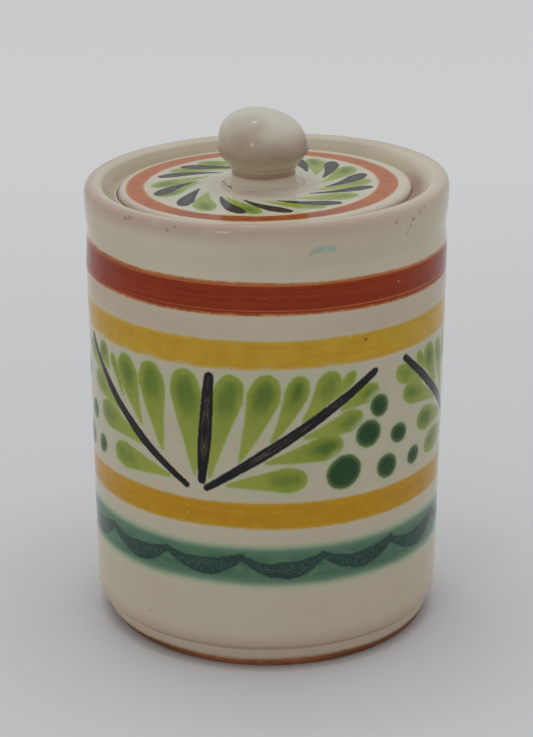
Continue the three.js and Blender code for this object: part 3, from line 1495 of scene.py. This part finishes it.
    def _material(self) -> bpy.types.Material:
        """The painted glaze of the jar.

        Returns:
            The material.
        """
        paints = self.paints
        shader = GlazeShader("painted_jar_glaze", self.glaze, paints)
        shader.thin_edges()
        self._gallery(shader)
        smear = shader.bench.attribute(Field.SMEAR.part("edge")) + shader.blot.swing(1.6)
        shader.paint(paints.smear, smear.step(0.5, -0.4) * 0.7)
        between = shader.height.step(*self.blush_from) * shader.height.step(*self.blush_to)
        shader.paint(self.glaze.thin, between * (0.15 + 0.2 * shader.cloud.step(0.3, 0.6)))
        for band in (
            Band(
                *self.terracotta_heights,
                paints.terracotta, paints.terracotta_deep, paints.terracotta_edge,
                softness=0.22, wander=0.5, streaky=0.6, lean=-0.01,
            ),
            Band(
                *self.ochre_heights,
                paints.ochre, paints.ochre_deep, paints.ochre_edge,
                softness=0.3, wander=0.5, streaky=0.25,
            ),
            Band(
                *self.deep_ochre_heights,
                paints.deep_ochre, paints.deep_ochre_deep, paints.deep_ochre_edge,
                softness=0.3, wander=0.5, streaky=0.25,
            ),
        ):
            self._band(shader, band)
        shader.leaves()
        shader.dots()
        shader.stems()
        self._teal(shader)
        self._foot(shader)
        for arc, height, radius, strength in self.flecks:
            turn = arc / self.wall_radius
            spot = (self.wall_radius * math.sin(turn), -self.wall_radius * math.cos(turn), height)
            shader.mark(spot, radius, strength)
        shader.scatter_specks(share=0.3)
        return shader.finish()

    def _gallery(self, shader: GlazeShader) -> None:
        """Paints shade down the slope inside the rim, darker on the left and darkest in its right-hand
        groove, and a painted highlight along the lip's inner edge at the right.

        Args:
            shader: The jar's glaze.
        """
        across, depth = shader.across + self.gallery_offset, shader.depth
        radius = across.hypot(depth)
        edge, seat = self.lip_edge[0], self.seat_radius
        above = shader.height.step(self.seat_height + 0.6, self.seat_height + self.seat_wall)
        off_bead = 1.0 - 0.8 * radius.step(seat + 1.0, seat + 0.7)
        # Painted shade: the pooled colour darkens the slope towards the seat, more on the left and less
        # on the bead.
        pooled_and_shade = radius.step(edge + 0.5, seat + self.valley_width) * (0.8 + 0.2 * across.step(0, -25))
        shader.paint(self.glaze.pooled_and_shade, pooled_and_shade * off_bead * above)
        # Painted shade in the right-hand groove between the gallery's slope and the lid.
        groove = radius.step(seat + 3.3, seat + 1.0) * across.step(*self.groove_right)
        groove = groove * depth.step(*self.groove_front)
        shader.paint(self.glaze.seam, groove * above * (0.82 + 0.3 * shader.cloud))
        # Painted highlight along the lip's inner edge on the right.
        shine = abs(radius - edge - 0.5).step(1.0, 0.2) * across.step(*self.shine_right) * above
        shader.paint(self.glaze.pinhole_and_highlight, shine * 0.6)

    def _inside_band(self, shader: GlazeShader, low: float, high: Operand, wander: float) -> Signal:
        """How far a point of the outer wall lies inside a band, with edges that wander.

        Args:
            shader: The jar's glaze.
            low: Lower edge in mm.
            high: Upper edge in mm.
            wander: How far the edges stray, in mm.

        Returns:
            The distance from the nearer edge in mm, below 0 outside the band.
        """
        bench = shader.bench
        squared = shader.across * shader.across + shader.depth * shader.depth
        outer = (squared - self.outer_radius**2) * self.OUTER_WEIGHT
        mirrored = bench.stretched(shader.place, (1.0, 1.0, -1.0))
        slow_low = bench.noise(shader.place, scale=30, detail=1).swing(wander) * 2
        slow_high = bench.noise(mirrored, scale=34, detail=1).swing(wander) * 2
        ragged = shader.fine.swing(0.35)
        above = shader.height - low + slow_low + ragged
        below = high - shader.height + slow_high + ragged
        return above.least(below).least(outer)

    def _band(self, shader: GlazeShader, band: Band) -> None:
        """Lays one flat band with brush streaks, thin edges and pinholes.

        Args:
            shader: The jar's glaze.
            band: The band.
        """
        bench = shader.bench
        inside = self._inside_band(shader, band.low, band.high + shader.across * band.lean, band.wander)
        streak = shader.streaks(scale_round=18, scale_up=1500)
        load = 0.35 + streak.step(0.35, 0.65).swing(band.streaky) + shader.blot.swing(1.4)
        tone = bench.mix(band.paint, band.deep_paint, load + shader.fine.swing(0.5))
        thin = inside.step(0.8, 0.05) * (0.35 + 0.65 * shader.blot.step(0.4, 0.65))
        tone = bench.mix(tone, band.edge_paint, thin.most(streak.step(0.68, 0.85) * band.streaky))
        scratch = shader.streaks(scale_round=9, scale_up=2600).step(0.55, 0.62) * inside.step(2.0, 1.0)
        tone = bench.mix(tone, band.edge_paint, scratch * band.streaky)
        mask = inside.step(-band.softness, band.softness)
        shader.paint(tone, mask)
        holes = bench.specks(shader.place, cell=3.0, radius=0.34, share=0.5)
        shader.paint(shader.glaze.pinhole_and_highlight, holes * mask * 0.7)

    def _teal(self, shader: GlazeShader) -> None:
        """Lays the soft green band and the dark scalloped line in it.

        Args:
            shader: The jar's glaze.
        """
        bench, paints = shader.bench, self.paints
        inside = self._inside_band(shader, *self.teal_heights, wander=0.6)
        streak = shader.streaks(scale_round=30, scale_up=700)
        shader.paint(paints.bleed, inside.step(-3.0, 0.2) * 0.75)
        tone = bench.mix(paints.teal_edge, paints.teal, inside.step(-1.2, 1.4) + streak.swing(0.5))
        depth = (streak * 0.5 + shader.blot * 0.5).step(0.38, 0.66) * inside.step(0.4, 2.2)
        tone = bench.mix(tone, paints.teal_deep, depth * 0.8)
        shader.paint(tone, inside.step(-1.3, 0.8))
        edge = bench.attribute(Field.SCALLOP.part("edge"))
        edge = edge + shader.blot.swing(0.9) + shader.fine.swing(0.6)
        outline = abs(edge + 0.3).step(0.5, 0.1)
        filled = edge.step(0.35, -0.5) * (0.6 + 0.4 * shader.grain.step(0.36, 0.58))
        shader.paint(paints.scallop, filled.most(outline * 0.9) * 0.92)

    def _foot(self, shader: GlazeShader) -> None:
        """Darkens the turned line and bares the clay under the glaze's lower edge, with painted shade on
        the clay towards the sides.

        Args:
            shader: The jar's glaze.
        """
        bench, glaze = shader.bench, self.glaze
        line_height = self.bevel_height + self.line_width / 2
        line = abs(shader.height - line_height + shader.fine.swing(0.2)).step(0.5, 0.1)
        line_glow = shader.height.step(*self.glow_to) * shader.height.step(*self.glow_from)
        gaps = bench.noise(shader.place, scale=120, detail=3).step(0.3, 0.55)
        shader.paint(glaze.thin, line_glow * 0.6)
        shader.paint(glaze.blush_and_shade, line * (0.1 + 0.3 * gaps))
        shader.paint(glaze.thin, shader.height.step(*self.bevel_blush) * 0.3)
        shader.paint(glaze.pooled_and_shade, shader.height.step(*self.bevel_pool) * 0.6)
        below = self.bare_height + shader.cloud.swing(1.8) + shader.fine.swing(0.5)
        bare = shader.height.step(below + 0.6, below - 0.5)
        gritty = bench.noise(shader.place, scale=420, detail=4, roughness=0.65).step(0.35, 0.75)
        # Painted shade: the clay is darker towards the foot's sides, as well as in its grit.
        clay = bench.mix(glaze.clay, glaze.clay_dark_and_shade, gritty.most(abs(shader.across + 2.0).step(5, 20)))
        shader.paint(clay, bare, glaze.clay_roughness)
        shader.emboss(bare, shader.grain * 0.05 - 0.12)


@dataclass
class Lid:
    """The drop-in lid: a flat disc with a ring and a wreath on it, and its luted knob. Sizes in mm.

    The pairs from cool_heights to right_shade hold where a rise is 0 and where it is 1.
    """

    wheel: Wheel
    glaze: TinGlaze
    paints: Paints
    low: float
    thickness: float
    tilt: RimTilt
    offset: float
    top_round: float = 1.1
    bottom_round: float = 0.6
    dish_radius: float = 26.55
    dish_slope: float = 2.5
    dish_depth: float = 1.2
    seat_play: float = 0.15
    paint_centre: Point = (-1.0, 0.1)
    ring_radii: Point = (24.5, 28.5)
    wreath_radii: Point = (12.6, 24.3)
    knob_widest: float = 7.8
    knob_radius: float = 9.5
    knob_height: float = 16.1
    neck_radius: float = 6.6
    neck_height: float = 2.3
    collar_height: float = 2.7
    fillet_radius: float = 10.5
    skirt_depth: float = 0.3
    neck_lines: tuple[float, ...] = (3.5, 4.6)
    cool_heights: Point = (9.0, 13.0)
    pink_from: Point = (4.2, 8.4)
    pink_to: Point = (13.0, 8.0)
    # Where the head's right side gets painted shade.
    right_shade: Point = (5.0, 9.0)
    pink_spot: tuple[float, float, float] = (-4.2, -6.5, 10.8)
    knob_offset: float = 0.6
    head_lean: float = 0.15
    head_tilt: float = 0.125
    head_low: float = 6.0
    head_high: float = 12.5
    head_power: float = 2.35
    crack: tuple[Stroke, ...] = (
        Stroke((-8.6, 2.4), (-8.2, -1.2), start_width=0.05, belly_width=0.15, end_width=0.1, bow=0.06),
        Stroke((-8.2, -1.2), (-6.7, -4.2), start_width=0.1, belly_width=0.3, end_width=0.25, bow=0.06),
    )
    flecks: tuple[Point, ...] = ((9.8, -4.4), (7.2, 8.0), (-4.4, -9.0), (3.9, -8.6))
    disc_turning: Turning = Turning(facets=360)
    knob_turning: Turning = Turning(facets=160)
    radius: float = field(init=False)
    face: float = field(init=False)

    def __post_init__(self) -> None:
        """Takes the radius from the frame, less the lid's play in its seat, and the face's height."""
        self.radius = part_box("lid_disc")[1].x * TO_MM - self.seat_play
        self.face = self.low + self.thickness

    def build(self) -> list[bpy.types.Object]:
        """Turns the disc and the knob, tilts them with the rim and hands them to the frame.

        Returns:
            The disc and the knob.
        """
        disc = self._disc()
        knob = self._knob()
        for piece, node, slot in (
            (disc, "lid_disc", "painted_lid_glaze"),
            (knob, "lid_knob", "cream_glaze"),
        ):
            self.tilt.lean(piece)
            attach(piece, "lid")
            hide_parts(node)
        return [disc, knob]

    def _disc(self) -> bpy.types.Object:
        """Turns the disc and lays its wreath.

        Returns:
            The disc.
        """
        round_height = self.face - self.top_round
        drawn = Section(0.0, self.low + self.dish_depth)
        drawn.line(self.dish_radius - self.dish_slope, self.low + self.dish_depth, step=3.0)
        drawn.line(self.dish_radius, self.low, step=1.0)
        drawn.line(self.radius - self.bottom_round, self.low, step=1.5)
        drawn.curve([(self.radius, self.low)], (self.radius, self.low + self.bottom_round), step=0.3)
        drawn.line(self.radius, round_height, step=0.7)
        round_centre = (self.radius - self.top_round, round_height)
        drawn.ellipse(round_centre, (self.top_round,) * 2, 0, 1, step=0.25)
        drawn.line(self.wreath_radii[0] - 1.5, self.face, step=0.4)
        drawn.line(0.0, self.face, step=2.0)
        radius, height = drawn.sides()
        thin = ramp(radius, self.radius - 1.4, self.radius + 0.2) * (height > self.low + 1.0)
        chain = drawn.mesh("lid", thin)
        disc = self.wheel.turn(chain, self.disc_turning, self._disc_material())
        places = vertices_mm(disc)
        places[:, 0] -= self.offset
        move_vertices(disc, places)
        on_face = places[:, 2] > self.face - 0.2
        flat = np.where(on_face[:, None], places[:, :2], Brushwork.FAR)
        wreath = Wreath(*self.wreath_radii, self.paint_centre)
        for name, strokes in wreath.strokes().items():
            Brushwork(flat).lay(strokes).store(disc.data, name)
        return disc

    def _disc_material(self) -> bpy.types.Material:
        """The painted glaze of the lid's disc.

        Returns:
            The material.
        """
        paints = self.paints
        shader = GlazeShader("painted_lid_glaze", self.glaze, paints)
        bench = shader.bench
        shader.thin_edges()
        across = shader.across - self.paint_centre[0]
        depth = shader.depth - self.paint_centre[1]
        radius = across.hypot(depth)
        slow = bench.noise(shader.place, scale=60, detail=1).swing(0.7) + shader.fine.swing(0.25)
        on_face = shader.height.step(self.face - 1.5, self.face - 1.4)
        inside = (radius - self.ring_radii[0] + slow).least(self.ring_radii[1] - radius + slow)
        # Painted shade: the ring is painted deeper towards the front, standing in for the darker
        # reflection there; the blotches are brush load.
        loaded = shader.blot.step(0.4, 0.7) * 0.4 + depth.step(-12, -26) * 0.6
        tone = bench.mix(paints.ring, paints.ring_deep, loaded)
        tone = bench.mix(tone, paints.ring_edge, inside.step(0.7, 0.1) * shader.blot.step(0.3, 0.6))
        shader.paint(tone, inside.step(-0.18, 0.18) * on_face)
        for spot in self.flecks:
            shader.mark((*spot, self.face), radius=0.4, strength=0.5)
        shader.leaves()
        shader.stems()
        shader.scatter_specks(share=0.3)
        return shader.finish()

    def _knob(self) -> bpy.types.Object:
        """Turns the knob, leans its head and sets it on the disc.

        Returns:
            The knob.
        """
        skirt, neck, collar = self.fillet_radius + 2.0, self.neck_radius, self.collar_height
        drawn = Section(0.0, -self.skirt_depth)
        drawn.line(skirt, -self.skirt_depth, step=3.0)
        drawn.curve([(skirt - 2.5, 0.1), (neck + 1.5, 0.1)], (neck + 0.55, 0.55), step=0.3)
        drawn.curve([(neck + 0.1, 1.0), (neck + 0.2, collar)], (neck, collar), step=0.25)
        drawn.curve([(neck - 0.06, collar + 0.1)], (neck + 0.04, collar + 0.3), step=0.12)
        drawn.curve(
            [(neck + 0.2, collar + 1.8), (self.knob_radius - 0.3, self.knob_widest - 1.6)],
            (self.knob_radius, self.knob_widest), step=0.3,
        )
        head = (self.knob_radius, self.knob_height - self.knob_widest)
        drawn.ellipse((0.0, self.knob_widest), head, 0, 1, step=0.4, power=self.head_power)
        radius, height = drawn.sides()
        at_collar = ramp(np.abs(height - collar - 0.2), 0.6, 0)
        thin = (radius > 1.0) * np.maximum(at_collar, 0.3 * ramp(height, 0.8, 0))
        chain = drawn.mesh("knob", thin)
        knob = self.wheel.turn(chain, self.knob_turning, self._knob_material())
        places = vertices_mm(knob)
        flat = np.where(places[:, 2:] < self.neck_height, places[:, :2], Brushwork.FAR)
        Brushwork(flat).lay(self.crack).store(knob.data, Field.CRACK)
        rise = ease(places[:, 2], self.head_low, self.head_high)
        tilt = self.head_tilt * places[:, 0] * rise
        places[:, 0] -= self.head_lean * rise + self.knob_offset
        places[:, 2] += self.face - tilt
        top = (places[:, 2] + self.tilt.slope * places[:, 0]).max()
        places[:, 2] -= (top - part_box("lid_knob")[1].z * TO_MM) * rise
        move_vertices(knob, places)
        return knob

    def _luting(self, shader: GlazeShader, rise: Signal) -> None:
        """Leaves uneven rings in the clay that was smoothed round the knob's foot.

        Args:
            shader: The knob's glaze.
            rise: Height above the lid's face.
        """
        bench = shader.bench
        across, depth = shader.across + self.knob_offset, shader.depth
        radius = across.hypot(depth)
        drawn = bench.node(
            "ShaderNodeCombineXYZ", inputs={0: radius * 0.9, 1: across * 0.1, 2: depth * 0.1},
        )
        rings = bench.noise(drawn, scale=1.0, detail=3, roughness=0.6)
        smoothed = rise.step(1.2, 0.5)
        shader.paint(self.glaze.thin, smoothed * rings.step(0.56, 0.4) * 0.6)
        shader.emboss(smoothed * rings, 0.4)

    def _knob_material(self) -> bpy.types.Material:
        """The glaze of the knob, with a firing crack at its foot, painted light on its head's top and
        its fillet, and painted shade on its right side.

        Returns:
            The material.
        """
        shader = GlazeShader("cream_glaze", self.glaze, self.paints)
        shader.thin_edges()
        rise = shader.height - self.face
        patchy = shader.bench.noise(shader.place, scale=120, detail=3).step(0.2, 0.7)
        lumps = shader.bench.noise(shader.place, scale=240, detail=2)
        shader.emboss(lumps, 0.16)
        # Painted light: the head's top is painted a paler, cooler cream, as lit from above.
        shader.paint(self.glaze.cool_cream, rise.step(*self.cool_heights) * 0.8)
        x, y, z = self.pink_spot
        spot = shader.away_from((x, y, self.face + z)) + lumps.swing(5.0)
        pink = (rise.step(*self.pink_to) * (0.5 + 0.3 * patchy)).most(spot.step(7.0, 1.5) * 0.6)
        # Painted shade: the blush colour darkens the head's right side.
        pink = pink + shader.across.step(*self.right_shade) * rise.step(13.0, 10.0) * 0.4
        shader.paint(self.glaze.blush_and_shade, pink * rise.step(*self.pink_from))
        collar = self.collar_height
        drawn_up = rise + shader.cloud.swing(0.8) + shader.fine.swing(0.3)
        above = drawn_up.step(collar - 0.5, collar + 0.2) * drawn_up.step(collar + 2.4, collar)
        shader.paint(self.glaze.seam, above * (0.3 + 0.35 * patchy))
        for turned in (collar + 0.15, *self.neck_lines):
            line = abs(drawn_up - turned).step(0.4, 0.05)
            shader.paint(self.glaze.seam, line * (0.05 + 0.3 * patchy))
            shader.emboss(line, -0.04)
        # Painted highlight: the pale pinhole colour lightens the collar and the fillet below it.
        shader.paint(self.glaze.pinhole_and_highlight, drawn_up.step(collar - 0.1, 1.6) * 0.7)
        self._luting(shader, rise)
        crack = shader.bench.attribute(Field.CRACK.part("edge")) + shader.fine.swing(0.35)
        shader.paint(self.glaze.crack, crack.step(0.25, -0.1) * 0.75, self.glaze.clay_roughness)
        shader.emboss(crack.step(0.15, -0.15), -0.12)
        shader.scatter_specks(share=0.4)
        return shader.finish()


@dataclass(frozen=True)
class Lamp:
    """One soft light, aimed at the jar. Places and sizes in metres."""

    name: str
    place: tuple[float, float, float]
    size: float
    watts: float
    colour: tuple[float, float, float] = (1.0, 1.0, 1.0)
    glints: bool = True


@dataclass(frozen=True)
class PaleFloor:
    """The floor's colours, from under the camera to far behind the jar, and how far they reach in m. The
    floor is painted darker near the camera and paler behind the jar: painted light.
    """

    near: Colour = srgb(207, 204, 200)
    far: Colour = srgb(219, 214, 209)
    near_at: float = 0.05
    far_at: float = 0.45
    half: float = 4.0
    roughness: float = 0.9
    specular: float = 0.1

    def build(self) -> None:
        """Lays the floor."""
        half = self.half
        mesh = bpy.data.meshes.new("floor")
        mesh.from_pydata(
            [(-half, -half, 0), (half, -half, 0), (half, half, 0), (-half, half, 0)], [], [(0, 1, 2, 3)],
        )
        floor = bpy.data.objects.new("floor", mesh)
        bpy.context.scene.collection.objects.link(floor)
        material = bpy.data.materials.new("pale_floor")
        material.use_nodes = True
        bench = NodeBench(material.node_tree)
        place = bench.node("ShaderNodeTexCoord", output="Object")
        back = bench.node("ShaderNodeSeparateXYZ", inputs={0: place}).out("Y")
        # Painted light: the floor's colour runs from darker under the camera to paler far behind the
        # jar.
        surface = bench.node(
            "ShaderNodeBsdfPrincipled",
            inputs={
                "Base Color": bench.mix(self.near, self.far, back.step(self.near_at, self.far_at)),
                "Roughness": self.roughness,
                "Specular IOR Level": self.specular,
            },
        )
        bench.node("ShaderNodeOutputMaterial", inputs={"Surface": surface})
        mesh.materials.append(material)


@dataclass(frozen=True)
class Studio:
    """The camera at the photograph's angle, a pale floor and soft light."""

    camera_place: tuple[float, float, float] = (0.0, -0.4533, 0.2176)
    camera_pitch: float = 19.86
    focal_pixels: float = 2235.4
    frame_height_pixels: int = 737
    sensor: float = 36.0
    floor: PaleFloor = PaleFloor()
    room_light: float = 0.54
    room_gloss: float = 0.52
    aim: tuple[float, float, float] = (0.0, 0.0, 0.1)
    lamps: tuple[Lamp, ...] = (
        Lamp("overhead_softbox", (0.0, 0.3, 3.0), 2.6, 35.0, (0.84, 1.0, 1.2), glints=False),
        Lamp("left_wall", (-1.2, 0.1, 0.4), 0.9, 0.8, glints=False),
        Lamp("right_wall", (1.2, 0.0, 0.4), 0.9, 0.7, glints=False),
        Lamp("upper_window", (-0.08, 0.21, 1.08), 0.11, 0.3),
        Lamp("front_window", (-0.44, -0.85, 0.345), 0.15, 0.6),
    )

    def set_up(self) -> None:
        """Builds camera, floor, lamps and world."""
        self._camera()
        self.floor.build()
        for lamp in self.lamps:
            self._light(lamp)
        self._world()
        bpy.context.scene.view_settings.view_transform = "Standard"

    def _camera(self) -> None:
        """Places the camera."""
        lens = bpy.data.cameras.new("photo_camera")
        lens.sensor_width = self.sensor
        lens.lens = self.focal_pixels / self.frame_height_pixels * self.sensor
        camera = bpy.data.objects.new("photo_camera", lens)
        camera.location = self.camera_place
        camera.rotation_euler = (math.radians(90 - self.camera_pitch), 0.0, 0.0)
        bpy.context.scene.collection.objects.link(camera)
        bpy.context.scene.camera = camera

    def _light(self, lamp: Lamp) -> None:
        """Hangs one lamp and aims it.

        Args:
            lamp: The lamp.
        """
        data = bpy.data.lights.new(lamp.name, "AREA")
        data.size = lamp.size
        data.energy = lamp.watts
        data.color = lamp.colour
        hung = bpy.data.objects.new(lamp.name, data)
        hung.location = lamp.place
        hung.visible_glossy = lamp.glints
        hung.rotation_euler = (Vector(self.aim) - Vector(lamp.place)).to_track_quat("-Z", "Y").to_euler()
        bpy.context.scene.collection.objects.link(hung)

    def _world(self) -> None:
        """Fills the room with even pale light, and shows reflections the paler background."""
        world = bpy.data.worlds.new("pale_room")
        world.use_nodes = True
        bpy.context.scene.world = world
        bench = NodeBench(world.node_tree)
        glossy = bench.node("ShaderNodeLightPath", output="Is Glossy Ray")
        strength = self.room_light + glossy * (self.room_gloss - self.room_light)
        glow = bench.node(
            "ShaderNodeBackground", inputs={"Color": (1.0, 1.0, 1.0, 1.0), "Strength": strength},
        )
        bench.node("ShaderNodeOutputWorld", inputs={"Surface": glow})


def main() -> None:
    """Builds the studio and the jar with its lid, and reports each piece."""
    logging.basicConfig(level=logging.INFO, format="%(name)s: %(message)s")
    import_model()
    Studio().set_up()
    wheel = Wheel()
    glaze = TinGlaze()
    paints = Paints()
    jar = Jar(wheel, glaze, paints)
    lid = Lid(
        wheel, glaze, paints, jar.seat_height, jar.lid_thickness, jar.tilt, jar.gallery_offset,
    )
    for piece in (jar.build(), *lid.build()):
        piece.data.calc_loop_triangles()
        LOG.info("%s: %d triangles", piece.name, len(piece.data.loop_triangles))


if __name__ == "__main__":
    main()
